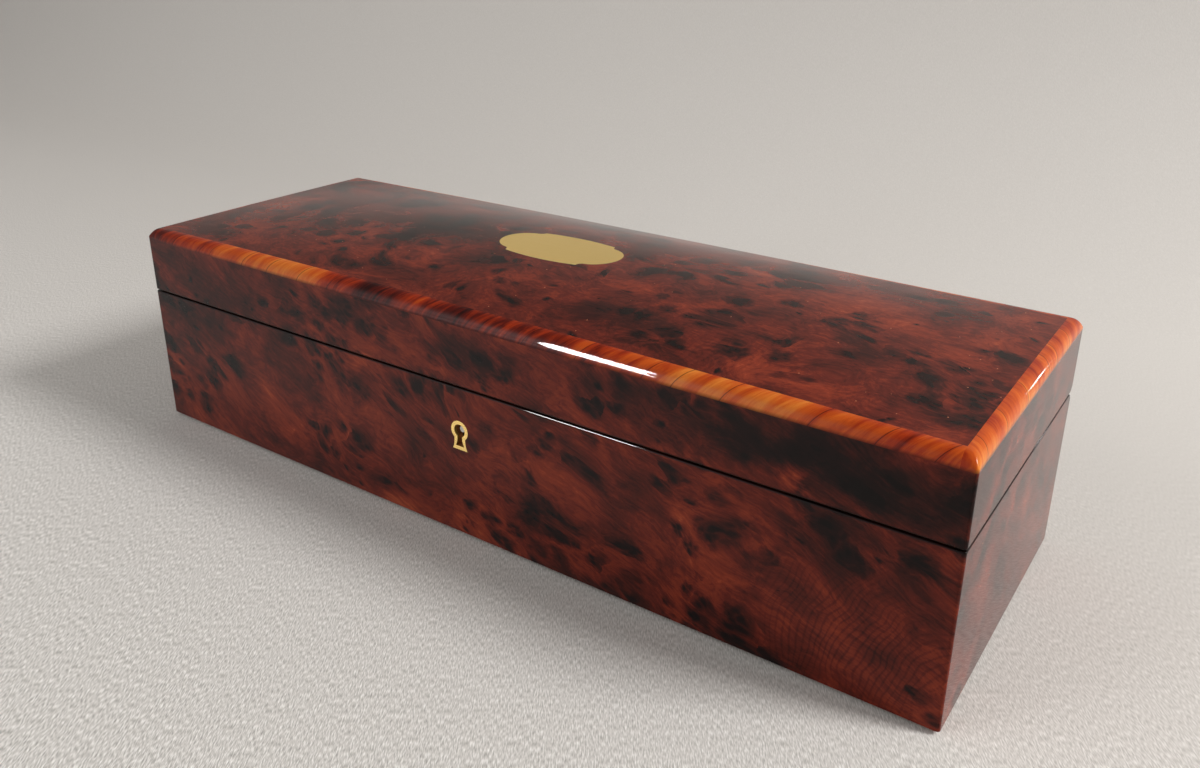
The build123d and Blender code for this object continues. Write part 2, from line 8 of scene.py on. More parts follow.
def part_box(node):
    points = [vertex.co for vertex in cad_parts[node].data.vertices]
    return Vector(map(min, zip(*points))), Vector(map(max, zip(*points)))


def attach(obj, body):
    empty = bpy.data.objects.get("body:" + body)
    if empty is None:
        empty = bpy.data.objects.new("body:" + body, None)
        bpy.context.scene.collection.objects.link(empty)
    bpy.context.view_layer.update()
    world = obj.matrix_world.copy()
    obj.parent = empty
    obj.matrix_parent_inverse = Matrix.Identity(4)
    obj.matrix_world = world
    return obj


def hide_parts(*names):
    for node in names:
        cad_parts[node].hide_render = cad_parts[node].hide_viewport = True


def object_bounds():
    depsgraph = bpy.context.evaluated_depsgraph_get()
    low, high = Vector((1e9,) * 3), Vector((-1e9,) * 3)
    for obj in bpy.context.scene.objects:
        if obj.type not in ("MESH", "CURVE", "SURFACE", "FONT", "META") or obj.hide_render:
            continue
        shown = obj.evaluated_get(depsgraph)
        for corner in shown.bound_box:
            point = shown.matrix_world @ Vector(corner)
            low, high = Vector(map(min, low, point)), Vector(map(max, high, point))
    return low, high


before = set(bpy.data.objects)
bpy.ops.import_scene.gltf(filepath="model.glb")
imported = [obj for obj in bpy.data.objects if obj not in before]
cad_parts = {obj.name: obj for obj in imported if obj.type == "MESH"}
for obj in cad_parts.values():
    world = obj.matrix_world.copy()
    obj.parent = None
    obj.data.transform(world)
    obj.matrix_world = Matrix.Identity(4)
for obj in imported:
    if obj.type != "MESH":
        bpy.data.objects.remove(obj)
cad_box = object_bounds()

# Burl veneer. Sawn burl of a reddish brown wood, a millimetre thick, glued to the carcass and
# French polished. The burl is a mass of small knots: near-black eyes in clusters, dark clouds,
# and fibre that swirls round them. One block of burl runs through all the sheets, so the
# figure goes on over the split between body and lid, as where a box is sawn open after gluing.
MM = 0.001


def linear(colour, alpha=1.0):
    """sRGB hex to linear: c / 12.92 up to 0.04045, above that ((c + 0.055) / 1.055) ** 2.4."""
    parts = [int(colour[i : i + 2], 16) / 255 for i in (1, 3, 5)]
    return [c / 12.92 if c <= 0.04045 else ((c + 0.055) / 1.055) ** 2.4 for c in parts] + [alpha]


def add_node(tree, kind, inputs=(), **settings):
    """Adds a node, sets its properties, and feeds each input from a socket or a plain value."""
    node = tree.nodes.new(kind)
    for name, value in settings.items():
        setattr(node, name, value)
    for key, value in dict(inputs).items():
        if isinstance(value, bpy.types.NodeSocket):
            tree.links.new(value, node.inputs[key])
        else:
            node.inputs[key].default_value = value
    return node


def new_material(name):
    """An empty node material with its shader and the coordinates in millimetres."""
    material = bpy.data.materials.new(name)
    material.use_nodes = True
    tree = material.node_tree
    tree.nodes.clear()
    shader = add_node(tree, "ShaderNodeBsdfPrincipled")
    add_node(tree, "ShaderNodeOutputMaterial", {"Surface": shader.outputs[0]})
    place = add_node(tree, "ShaderNodeTexCoord")
    in_mm = add_node(
        tree, "ShaderNodeMapping", {"Vector": place.outputs["Object"], "Scale": (1 / MM,) * 3}
    )
    return material, tree, shader, in_mm.outputs[0]


def colour_ramp(tree, value, stops):
    """A colour ramp from (position, hex) stops."""
    ramp = add_node(tree, "ShaderNodeValToRGB", {0: value})
    elements = ramp.color_ramp.elements
    while len(elements) < len(stops):
        elements.new(0.5)
    for element, (position, colour) in zip(elements, stops):
        element.position = position
        element.color = linear(colour)
    return ramp.outputs[0]


def polish(shader, roughness, coat_roughness):
    """French polish: a thin clear coat of shellac, clear from the front and bright at a glance."""
    shader.inputs["Roughness"].default_value = roughness
    shader.inputs["Specular IOR Level"].default_value = 0.02
    shader.inputs["Coat Weight"].default_value = 1.0
    shader.inputs["Coat Roughness"].default_value = coat_roughness
    shader.inputs["Coat IOR"].default_value = 1.21


def warped(tree, place, size, reach, detail):
    """A place shifted by up to half its reach along a smooth noise of the given size."""
    noise = add_node(
        tree, "ShaderNodeTexNoise", {"Vector": place, "Scale": 1 / size, "Detail": detail}
    )
    shift = add_node(
        tree, "ShaderNodeVectorMath", {0: noise.outputs["Color"], 1: (-0.5,) * 3}, operation="ADD"
    )
    return add_node(
        tree,
        "ShaderNodeVectorMath",
        {0: shift.outputs[0], 1: (reach,) * 3, 2: place},
        operation="MULTIPLY_ADD",
    ).outputs[0]


# Broad places of the block where the wood is dark, and where it is plain with few eyes: the
# middle and the half spans in mm, and the strength
dark_places = (
    ((108, -51, 63), (62, 30, 13), 0.75),
    ((132, -51, 42), (30, 30, 15), 0.35),
    ((-150, -51, 52), (90, 40, 34), 0.3),
    ((44, -34, 80), (30, 16, 14), 0.4),
    ((-40, 0, 80), (90, 30, 12), 0.3),
    ((110, -20, 80), (30, 16, 12), 0.3),
    ((4, -51, 63), (22, 30, 9), 0.3),
)
plain_places = (
    ((126, -51, 16), (34, 30, 24), 1.4),
    ((78, -36, 80), (26, 18, 12), 0.7),
)


def placed(tree, at, places):
    """Sum of spots, each full in its middle and falling off in a line to its rim."""
    total = 0.0
    for middle, half_span, strength in places:
        spot_place = add_node(
            tree,
            "ShaderNodeMapping",
            {"Vector": at, "Location": middle, "Scale": half_span},
            vector_type="TEXTURE",
        ).outputs[0]
        spot = add_node(
            tree, "ShaderNodeTexGradient", {"Vector": spot_place}, gradient_type="SPHERICAL"
        ).outputs[1]
        total = add_node(
            tree, "ShaderNodeMath", {0: spot, 1: strength, 2: total}, operation="MULTIPLY_ADD"
        ).outputs[0]
    return total


def burl_figure(tree, mm):
    """How light the burl is at each point, from 0 to 1: a cloudy ground with bright fibre and
    growth lines, less the eyes and the broad dark places, all bent by two sizes of swirl."""
    # The figure is drawn out along the sheet and leans down to the right
    slant = math.radians(24)
    drawn_out = (1.4, 1, 0.9)
    swirl_size, swirl_reach = 32, 22
    curl_size, curl_reach = 7, 5
    block = add_node(
        tree,
        "ShaderNodeMapping",
        {"Vector": mm, "Rotation": (0, slant, 0), "Scale": drawn_out},
        vector_type="TEXTURE",
    ).outputs[0]
    swirled = warped(tree, block, swirl_size, swirl_reach, 2.0)
    curled = warped(tree, swirled, curl_size, curl_reach, 4.0)
    cloud_size = 15
    clouds = add_node(
        tree,
        "ShaderNodeTexNoise",
        {"Vector": curled, "Scale": 1 / cloud_size, "Detail": 6.0, "Roughness": 0.62},
    ).outputs[0]
    # Broad places, with ragged edges
    ragged_size, ragged_reach = 16, 34
    ragged = warped(tree, mm, ragged_size, ragged_reach, 4.0)
    dark = placed(tree, ragged, dark_places)
    plain = placed(tree, ragged, plain_places)
    plain = add_node(tree, "ShaderNodeMath", {0: plain, 1: 1.0}, operation="MINIMUM").outputs[0]
    # Eyes, each a soft dark oval round a black core. They are crowded in clusters.
    cluster_size = 34
    cluster = add_node(
        tree, "ShaderNodeTexNoise", {"Vector": swirled, "Scale": 1 / cluster_size, "Detail": 1.0}
    ).outputs[0]
    plain_thins_out = 0.35
    crowding = add_node(
        tree,
        "ShaderNodeMath",
        {0: plain, 1: -plain_thins_out, 2: cluster},
        operation="MULTIPLY_ADD",
    ).outputs[0]
    eye_spacing = 7.5
    eyes = add_node(tree, "ShaderNodeTexVoronoi", {"Vector": curled, "Scale": 1 / eye_spacing})
    chance = add_node(
        tree,
        "ShaderNodeMath",
        {0: eyes.outputs["Color"], 1: 0.4, 2: crowding},
        operation="MULTIPLY_ADD",
    ).outputs[0]
    reach = add_node(
        tree, "ShaderNodeMapRange", {0: chance, 1: 0.55, 2: 0.85, 3: 0.04, 4: 0.85}
    ).outputs[0]
    halo = add_node(
        tree,
        "ShaderNodeMapRange",
        {0: eyes.outputs["Distance"], 1: 0.0, 2: reach, 3: 1.0, 4: 0.0},
        interpolation_type="SMOOTHSTEP",
    ).outputs[0]
    core_size = 2.4
    cores = add_node(
        tree, "ShaderNodeTexVoronoi", {"Vector": curled, "Scale": 1 / core_size}
    ).outputs["Distance"]
    core = add_node(
        tree, "ShaderNodeMapRange", {0: cores, 1: 0.15, 2: 0.6, 3: 0.75, 4: 0.0}
    ).outputs[0]
    core = add_node(tree, "ShaderNodeMath", {0: core, 1: 0.55}, operation="ADD").outputs[0]
    eye = add_node(tree, "ShaderNodeMath", {0: halo, 1: core}, operation="MULTIPLY").outputs[0]
    # Growth lines, rings round a middle beyond the sheet, in the plain places
    ring_middle = (165, -51, 2)
    ring_spacing = 1.7
    ring_depth = 0.13
    wander_size, wander_reach = 24, 12
    rings_place = add_node(
        tree,
        "ShaderNodeMapping",
        {"Vector": warped(tree, mm, wander_size, wander_reach, 2.0), "Location": ring_middle},
        vector_type="TEXTURE",
    ).outputs[0]
    rings = add_node(
        tree,
        "ShaderNodeTexWave",
        {
            "Vector": rings_place,
            "Scale": math.pi / 10 / ring_spacing,
            "Distortion": 3.0,
            "Detail": 2.0,
            "Detail Scale": 0.6,
        },
        wave_type="RINGS",
        rings_direction="SPHERICAL",
    ).outputs[1]
    ring_dark = add_node(
        tree, "ShaderNodeMapRange", {0: rings, 1: 0.0, 2: 0.4, 3: ring_depth, 4: 0.0}
    ).outputs[0]
    ring_dark = add_node(
        tree, "ShaderNodeMath", {0: ring_dark, 1: plain}, operation="MULTIPLY"
    ).outputs[0]
    # Fine bright fibre, drawn out along the slant and turned by the swirl
    fibre_length, fibre_width = 1 / 0.13, 1.0
    fibre_place = add_node(
        tree,
        "ShaderNodeMapping",
        {"Vector": curled, "Scale": (1 / fibre_length, 1 / fibre_width, 1 / fibre_width)},
    ).outputs[0]
    fibre = add_node(
        tree,
        "ShaderNodeTexNoise",
        {"Vector": fibre_place, "Scale": 1.0, "Detail": 5.0, "Roughness": 0.72},
    ).outputs[0]
    ground = add_node(
        tree, "ShaderNodeMapRange", {0: clouds, 1: 0.3, 2: 0.7, 3: 0.34, 4: 0.84}, clamp=False
    ).outputs[0]
    fibre_strength = 0.75
    eye_strength = 0.72
    level = add_node(
        tree, "ShaderNodeMath", {0: fibre, 1: fibre_strength, 2: ground}, operation="MULTIPLY_ADD"
    ).outputs[0]
    level = add_node(
        tree, "ShaderNodeMath", {0: eye, 1: -eye_strength, 2: level}, operation="MULTIPLY_ADD"
    ).outputs[0]
    for shade in (ring_dark, dark):
        level = add_node(
            tree, "ShaderNodeMath", {0: level, 1: shade}, operation="SUBTRACT"
        ).outputs[0]
    return add_node(
        tree, "ShaderNodeMapRange", {0: level, 1: 0.18, 2: 1.42, 3: 0.0, 4: 1.0}
    ).outputs[0]


def burl_veneer(name):
    """Burl veneer under French polish: deep, warm and sharp in its reflections."""
    material, tree, shader, mm = new_material(name)
    light = burl_figure(tree, mm)
    colour = colour_ramp(
        tree,
        light,
        [
            (0.0, "#0b0302"),
            (0.25, "#1c0705"),
            (0.45, "#3b1109"),
            (0.62, "#5e1d11"),
            (0.8, "#83301a"),
            (1.0, "#ad522c"),
        ],
    )
    # Tiny pale flecks of open pores and dust
    fleck_spacing = 2.6
    fleck_radius = 0.195
    left_out = 0.7
    flecks = add_node(tree, "ShaderNodeTexVoronoi", {"Vector": mm, "Scale": 1 / fleck_spacing})
    fleck_dot = add_node(
        tree,
        "ShaderNodeMath",
        {0: flecks.outputs["Distance"], 1: fleck_radius / fleck_spacing},
        operation="LESS_THAN",
    ).outputs[0]
    fleck_pick = add_node(
        tree, "ShaderNodeMath", {0: flecks.outputs["Color"], 1: left_out}, operation="GREATER_THAN"
    ).outputs[0]
    fleck = add_node(
        tree, "ShaderNodeMath", {0: fleck_dot, 1: fleck_pick}, operation="MULTIPLY"
    ).outputs[0]
    flecked = add_node(
        tree,
        "ShaderNodeMix",
        {0: fleck, 6: colour, 7: linear("#b5704c")},
        data_type="RGBA",
    ).outputs[2]
    # Painted shade of the gap: both lips of the split are darkened towards it
    height = add_node(tree, "ShaderNodeSeparateXYZ", {0: mm}).outputs[2]
    split_height = (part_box("body_front_veneer")[1].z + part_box("lid_front_veneer")[0].z) / 2 / MM
    from_split = add_node(
        tree, "ShaderNodeMath", {0: height, 1: split_height}, operation="SUBTRACT"
    ).outputs[0]
    from_split = add_node(tree, "ShaderNodeMath", {0: from_split}, operation="ABSOLUTE").outputs[0]
    split_painted_shade = add_node(
        tree, "ShaderNodeMapRange", {0: from_split, 1: 0.45, 2: 0.85, 3: 0.9, 4: 0.0}
    ).outputs[0]
    split_shaded = add_node(
        tree,
        "ShaderNodeMix",
        {0: split_painted_shade, 6: flecked, 7: linear("#0d0504")},
        data_type="RGBA",
    ).outputs[2]
    tree.links.new(split_shaded, shader.inputs["Base Color"])
    polish(shader, 0.5, 0.03)
    return material


burl = burl_veneer("french_polished_burl")
burl_nodes = [
    f"{wall}_{side}_veneer" for wall in ("body", "lid") for side in ("front", "back", "left", "right")
]
for node_name in burl_nodes + ["top_veneer"]:
    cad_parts[node_name].data.materials.clear()
    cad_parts[node_name].data.materials.append(burl)

# Crossband. Short strips of a striped orange-brown wood, sawn across the grain, glued end to end
# into a rebate round the lid's top edges and rounded over with the lid. The stripes lean across
# the band, and hairlines show where one strip meets the next.


half_length = cad_box[1].x / MM
# How light the strips are at places along the length, in mm from the middle
strip_tones = (
    (-half_length, 0.2),
    (-128, 0.25),
    (-100, 0.55),
    (-72, 0.6),
    (-48, 0.27),
    (-12, 0.05),
    (30, 0.22),
    (58, 0.38),
    (92, 0.56),
    (118, 0.4),
    (138, 0.3),
    (half_length, 0.6),
)


def crossband_wood(name, along):
    """Striped wood with its stripes leaning across a band that runs along X (0) or Y (1)."""
    material, tree, shader, mm = new_material(name)
    lean = 0.55
    axes = add_node(tree, "ShaderNodeSeparateXYZ", {0: mm})
    # Over the band and down its side in one go: the way inwards plus the height
    inward = axes.outputs[1]
    if along == 1:
        inward = add_node(
            tree, "ShaderNodeMath", {0: axes.outputs[0], 1: -1.0}, operation="MULTIPLY"
        ).outputs[0]
    over = add_node(
        tree, "ShaderNodeMath", {0: inward, 1: axes.outputs[2]}, operation="ADD"
    ).outputs[0]
    slanted = add_node(
        tree, "ShaderNodeMath", {0: over, 1: -lean, 2: axes.outputs[along]}, operation="MULTIPLY_ADD"
    ).outputs[0]
    across = add_node(tree, "ShaderNodeMath", {0: over, 1: 0.16}, operation="MULTIPLY").outputs[0]
    grain_place = add_node(tree, "ShaderNodeCombineXYZ", {0: slanted, 1: across}).outputs[0]
    stripe_size = 6
    stripes = add_node(
        tree,
        "ShaderNodeTexNoise",
        {
            "Vector": grain_place,
            "Scale": 1 / stripe_size,
            "Detail": 8.0,
            "Roughness": 0.7,
            "Distortion": 0.4,
        },
        noise_dimensions="2D",
    ).outputs[0]
    patch_size = 40
    patches = add_node(
        tree, "ShaderNodeTexNoise", {"Vector": mm, "Scale": 1 / patch_size, "Detail": 1.0}
    ).outputs[0]
    patched = add_node(
        tree, "ShaderNodeMath", {0: patches, 1: 0.5, 2: stripes}, operation="MULTIPLY_ADD"
    ).outputs[0]
    # The strips left of the middle are a dark red, those right of it orange
    tone = add_node(
        tree,
        "ShaderNodeMapRange",
        {0: axes.outputs[0], 1: -half_length, 2: half_length, 3: 0.0, 4: 1.0},
    ).outputs[0]
    strip_tone = add_node(tree, "ShaderNodeFloatCurve", {1: tone})
    curve = strip_tone.mapping.curves[0]
    for _ in strip_tones[1:-1]:
        curve.points.new(0.5, 0.5)
    for point, (place, level) in zip(curve.points, strip_tones):
        point.location = (place / (2 * half_length) + 0.5, level)
    strip_tone.mapping.update()
    toned = add_node(
        tree, "ShaderNodeMath", {0: strip_tone.outputs[0], 1: patched}, operation="ADD"
    ).outputs[0]
    light = add_node(
        tree, "ShaderNodeMapRange", {0: toned, 1: 0.72, 2: 1.5, 3: 0.0, 4: 1.0}
    ).outputs[0]
    colour = colour_ramp(
        tree,
        light,
        [
            (0.0, "#2a0a07"),
            (0.2, "#5c160a"),
            (0.42, "#9c3010"),
            (0.68, "#c4551a"),
            (1.0, "#dc8433"),
        ],
    )
    # Dark seams between the strips
    strip_length = 16
    seams = add_node(
        tree,
        "ShaderNodeTexVoronoi",
        {"W": slanted, "Scale": 1 / strip_length},
        voronoi_dimensions="1D",
        feature="DISTANCE_TO_EDGE",
    ).outputs["Distance"]
    seam_dark = add_node(
        tree, "ShaderNodeMapRange", {0: seams, 1: 0.004, 2: 0.014, 3: 0.75, 4: 0.0}
    ).outputs[0]
    seamed = add_node(
        tree,
        "ShaderNodeMix",
        {0: seam_dark, 6: colour, 7: linear("#2a0c07")},
        data_type="RGBA",
    ).outputs[2]
    # The band is darker towards its lower edge
    band_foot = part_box("crossband_front")[0].z / MM
    low = add_node(
        tree,
        "ShaderNodeMapRange",
        {0: axes.outputs[2], 1: band_foot, 2: band_foot + 1.1, 3: 0.8, 4: 0.0},
    ).outputs[0]
    footed = add_node(
        tree,
        "ShaderNodeMix",
        {0: low, 6: seamed, 7: linear("#3a0f0a")},
        data_type="RGBA",
    ).outputs[2]
    tree.links.new(footed, shader.inputs["Base Color"])
    polish(shader, 0.45, 0.02)
    return material


crossband_x = crossband_wood("polished_crossband_front_and_back", 0)
crossband_y = crossband_wood("polished_crossband_ends", 1)
for side, material in (
    ("front", crossband_x),
    ("back", crossband_x),
    ("left", crossband_y),
    ("right", crossband_y),
):
    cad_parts[f"crossband_{side}"].data.materials.clear()
    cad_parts[f"crossband_{side}"].data.materials.append(material)

# Carcass. Boards of plain brown wood, planed, dovetailed and glued. Only their top edges and
# the inside of the lid's rim show, and those were stained and oiled.


def plain_board(name, along):
    """Straight-grained wood whose grain runs along X (0), Y (1) or Z (2)."""
    material, tree, shader, mm = new_material(name)
    grain_length = 60
    grain_width = 1.6
    scale = [1 / grain_width] * 3
    scale[along] = 1 / grain_length
    stretched = add_node(tree, "ShaderNodeMapping", {"Vector": mm, "Scale": scale})
    grain = add_node(
        tree,
        "ShaderNodeTexNoise",
        {"Vector": stretched.outputs[0], "Scale": 1.0, "Detail": 5.0, "Distortion": 0.4},
    )
    colour = colour_ramp(
        tree, grain.outputs[0], [(0.25, "#5a3520"), (0.5, "#80522f"), (0.75, "#9c6c42")]
    )
    tree.links.new(colour, shader.inputs["Base Color"])
    shader.inputs["Roughness"].default_value = 0.5
    return material


board_x = plain_board("oiled_board_long", 0)
board_y = plain_board("oiled_board_end", 1)
for wall in ("body", "lid"):
    for side, material in (
        ("front", board_x),
        ("back", board_x),
        ("left", board_y),
        ("right", board_y),
    ):
        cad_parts[f"{wall}_{side}_board"].data.materials.clear()
        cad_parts[f"{wall}_{side}_board"].data.materials.append(material)
for node_name in ("bottom_board", "top_board"):
    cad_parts[node_name].data.materials.clear()
    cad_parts[node_name].data.materials.append(board_x)

# Brass. Rolled sheet, sawn to shape, let in flush and rubbed down with the wood: the cartouche
# is matt from fine abrasive, the keyhole's surround and the hinges are brighter.


def rolled_brass(name, colour, roughness, scratch_depth):
    """Sheet brass with fine rubbing marks along X."""
    material, tree, shader, mm = new_material(name)
    shader.inputs["Base Color"].default_value = linear(colour)
    shader.inputs["Metallic"].default_value = 1.0
    rub_width = 0.12
    stretched = add_node(
        tree, "ShaderNodeMapping", {"Vector": mm, "Scale": (0.05, 1 / rub_width, 1 / rub_width)}
    )
    rubbing = add_node(
        tree, "ShaderNodeTexNoise", {"Vector": stretched.outputs[0], "Scale": 1.0, "Detail": 2.0}
    )
    rough = add_node(
        tree,
        "ShaderNodeMapRange",
        {0: rubbing.outputs[0], 1: 0.3, 2: 0.7, 3: roughness - 0.06, 4: roughness + 0.06},
    )
    tree.links.new(rough.outputs[0], shader.inputs["Roughness"])
    bump = add_node(
        tree,
        "ShaderNodeBump",
        {"Height": rubbing.outputs[0], "Strength": 0.3, "Distance": scratch_depth},
    )
    tree.links.new(bump.outputs[0], shader.inputs["Normal"])
    return material


matt_brass = rolled_brass("rubbed_brass", "#e6c983", 0.5, 0.01 * MM)
bright_brass = rolled_brass("polished_brass", "#e2c077", 0.28, 0.004 * MM)
for node_name, material in (
    ("cartouche", matt_brass),
    ("escutcheon", bright_brass),
    ("lock_plate", bright_brass),
    ("strike_plate", bright_brass),
    ("body_hinge_leaves", bright_brass),
    ("lid_hinge_leaves", bright_brass),
    ("hinge_pins", bright_brass),
):
    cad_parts[node_name].data.materials.clear()
    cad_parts[node_name].data.materials.append(material)

# Steel. The lock's cap, bolt, spring and key pin, filed and oiled, and the small screws.


def filed_steel(name, colour, roughness, painted_slots=()):
    """Oiled steel with cloudy darkening. Each slot is painted shade, not cut: the colour is dark
    within half a slot's width of each plane listed, an axis (0 to 2) and a place along it in mm."""
    material, tree, shader, mm = new_material(name)
    stain_size = 3
    slot_width = 0.36
    stain = add_node(
        tree, "ShaderNodeTexNoise", {"Vector": mm, "Scale": 1 / stain_size, "Detail": 4.0}
    )
    shade = colour_ramp(tree, stain.outputs[0], [(0.3, "#55524e"), (0.7, colour)])
    axes = add_node(tree, "ShaderNodeSeparateXYZ", {0: mm})
    for axis, place in painted_slots:
        off = add_node(
            tree, "ShaderNodeMath", {0: axes.outputs[axis], 1: place}, operation="SUBTRACT"
        ).outputs[0]
        off = add_node(tree, "ShaderNodeMath", {0: off}, operation="ABSOLUTE").outputs[0]
        # Painted shade where the slot's cut would be
        painted_slot_shade = add_node(
            tree, "ShaderNodeMath", {0: off, 1: slot_width / 2}, operation="LESS_THAN"
        ).outputs[0]
        shade = add_node(
            tree,
            "ShaderNodeMix",
            {0: painted_slot_shade, 6: shade, 7: linear("#0b0a09")},
            data_type="RGBA",
        ).outputs[2]
    tree.links.new(shade, shader.inputs["Base Color"])
    shader.inputs["Metallic"].default_value = 1.0
    shader.inputs["Roughness"].default_value = roughness
    return material


steel = filed_steel("filed_steel", "#9a958e", 0.38)
for node_name in ("lock_cap", "lock_bolt", "lock_spring", "key_pin"):
    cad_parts[node_name].data.materials.clear()
    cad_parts[node_name].data.materials.append(steel)

# Screws. Small countersunk steel screws, filed flush, with every slot turned along the box. The
# slots are not cut: each is a line of painted shade in the metal, as wide as the real cut. The lock's
# screws go down through its edge plate and forward through its face plate.
screw_head_radius = 1.15 * MM
edge_plate_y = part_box("strike_screws")[0].y + screw_head_radius
face_plate_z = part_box("lock_screws")[0].z + screw_head_radius
painted_screw_slots = {"lock_screws": ((1, edge_plate_y / MM), (2, face_plate_z / MM))}
for node_name in ("strike_screws", "body_hinge_screws", "lid_hinge_screws"):
    low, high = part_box(node_name)
    painted_screw_slots[node_name] = ((1, (low.y + high.y) / 2 / MM),)
for node_name, painted_slots in painted_screw_slots.items():
    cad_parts[node_name].data.materials.clear()
    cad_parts[node_name].data.materials.append(
        filed_steel(f"painted_slot_{node_name}", "#b5afa6", 0.3, painted_slots)
    )

# Satin lining. Wadding under silk satin: two buttoned pads and four plain wall pads.


def silk_satin(name, colour):
    """Satin: a smooth warp face with a soft sheen and fine threads."""
    material, tree, shader, mm = new_material(name)
    thread = 0.5
    waves = add_node(
        tree, "ShaderNodeTexNoise", {"Vector": mm, "Scale": 1 / thread, "Detail": 1.0}
    )
    bump = add_node(
        tree,
        "ShaderNodeBump",
        {"Height": waves.outputs[0], "Strength": 0.15, "Distance": 0.05 * MM},
    )
    tree.links.new(bump.outputs[0], shader.inputs["Normal"])
    shader.inputs["Base Color"].default_value = linear(colour)
    shader.inputs["Roughness"].default_value = 0.38
    shader.inputs["Sheen Weight"].default_value = 0.3
    shader.inputs["Sheen Roughness"].default_value = 0.35
    return material


satin = silk_satin("champagne_silk_satin", "#c9b994")

# The pads are wadding held between the cloth and a card. Rows of buttons, set in quincunx, draw
# the two large ones down, with pleats from button to button and out to the edges.
button_pitch_x = 54
button_pitch_y = 38
button_columns = 5
button_radius = 3.4


def button_places():
    """Two full rows of buttons and a shorter row between them, in mm from the middle."""
    full_row = (np.arange(button_columns) - (button_columns - 1) / 2) * button_pitch_x
    short_row = (full_row[:-1] + full_row[1:]) / 2
    rows = [np.stack([full_row, np.full(button_columns, side)], -1) for side in (-0.5, 0.5)]
    rows.append(np.stack([short_row, np.zeros(button_columns - 1)], -1))
    return np.concatenate(rows) * (1, button_pitch_y)


def button_distance(u, v):
    """Distance in mm from each point to the nearest button's middle."""
    places = button_places()
    away = np.sqrt((u[..., None] - places[:, 0]) ** 2 + (v[..., None] - places[:, 1]) ** 2)
    return away.min(-1)


def grid_quads(rows, columns):
    """Quads over a grid of points numbered row by row."""
    first = np.arange(rows * columns).reshape(rows, columns)
    quads = np.stack([first[:-1, :-1], first[:-1, 1:], first[1:, 1:], first[1:, :-1]], axis=-1)
    return quads.reshape(-1, 4)


def mesh_piece(name, points, quads, material):
    """A smooth mesh object at the origin from points and quads."""
    mesh = bpy.data.meshes.new(name)
    mesh.from_pydata(points.reshape(-1, 3).tolist(), [], quads.tolist())
    mesh.polygons.foreach_set("use_smooth", np.ones(len(quads), bool))
    mesh.materials.append(material)
    piece = bpy.data.objects.new(name, mesh)
    bpy.context.scene.collection.objects.link(piece)
    return piece


pad_edge_round = 4.0
edge_drop = 0.85
plain_edge_height = 0.82
pleat_depth = 0.16
dimple_depth = 0.34
dimple_size = 9
pleat_sharpness = 0.35
seat_slope_width = 3


def padding_height(u, v, half_u, half_v, thickness, buttoned):
    """Height of the padding in mm: a quarter circle up from each edge, then a low crown. Where
    it is buttoned, the crown is lowered along the pleats, and most of all beside the buttons."""
    from_edge = np.minimum(half_u - abs(u), half_v - abs(v))
    inset = 1 - np.clip(from_edge / pad_edge_round, 0, 1)
    rise = np.sqrt(1 - edge_drop * inset**2)
    if not buttoned:
        crown = (1 - (u / half_u) ** 4) * (1 - (v / half_v) ** 4)
        return thickness * rise * (plain_edge_height + (1 - plain_edge_height) * crown)
    outer_u = (button_columns - 1) / 2 * button_pitch_x
    across = np.clip(v, -button_pitch_y / 2, button_pitch_y / 2) / button_pitch_y
    along = np.clip(u, -outer_u, outer_u) / button_pitch_x
    fullness = abs(np.cos(np.pi * (along + across)) * np.cos(np.pi * (along - across)))
    nearest = button_distance(u, v)
    depth = pleat_depth + dimple_depth * np.exp(-((nearest / dimple_size) ** 2))
    height = thickness * rise * (1 - depth * (1 - fullness**pleat_sharpness))
    seat = np.clip((nearest - button_radius) / seat_slope_width, 0, 1)
    return height * seat + np.minimum(height, thickness / 2) * (1 - seat)


pads = []


def padded_panel(name, node, body, low, high, facing, buttoned):
    """A closed pad that fills a box and faces along one axis: a top sheet at the padding's height
    and a flat back sheet, joined round the edge. The back, the edge and the cloth under the
    buttons are held when it is stuffed further down."""
    step = 2.0
    held_margin = 0.5
    w_axis = Vector(facing)
    v_axis = Vector((0, 0, 1)) if w_axis.z == 0 else Vector((0, w_axis.z, 0))
    u_axis = v_axis.cross(w_axis)
    middle = (low + high) / 2
    span = high - low
    half_u, half_v, thickness = (
        abs(span.dot(axis)) / MM / scale for axis, scale in ((u_axis, 2), (v_axis, 2), (w_axis, 1))
    )
    columns = int(round(2 * half_u / step)) + 1
    rows = int(round(2 * half_v / step)) + 1
    u, v = np.meshgrid(np.linspace(-half_u, half_u, columns), np.linspace(-half_v, half_v, rows))
    height = padding_height(u, v, half_u, half_v, thickness, buttoned)
    top = np.stack([u, v, height - thickness / 2], -1).reshape(-1, 3)
    back = np.stack([u, v, np.full_like(u, -thickness / 2)], -1).reshape(-1, 3)
    quads = grid_quads(rows, columns)
    number = np.arange(rows * columns).reshape(rows, columns)
    rim = np.concatenate([number[0, :-1], number[:-1, -1], number[-1, :0:-1], number[:0:-1, 0]])
    following = np.roll(rim, -1)
    total = rows * columns
    sides = np.stack([rim, rim + total, following + total, following], -1)
    turn = np.array([u_axis, v_axis, w_axis])
    points = np.concatenate([top, back]) @ turn * MM + np.array(middle)
    faces = np.concatenate([quads, quads[:, ::-1] + total, sides])
    piece = mesh_piece(name, points, faces, satin)
    hold = piece.vertex_groups.new(name="held")
    held = (button_distance(u, v) < button_radius + held_margin).ravel() & buttoned
    held[rim] = True
    hold.add([int(i) for i in np.flatnonzero(held)], 1.0, "REPLACE")
    hold.add(list(range(total, 2 * total)), 1.0, "REPLACE")
    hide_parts(node)
    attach(piece, body)
    pads.append(piece)


plate_low, plate_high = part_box("lock_plate")
front_low, front_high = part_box("front_pad")
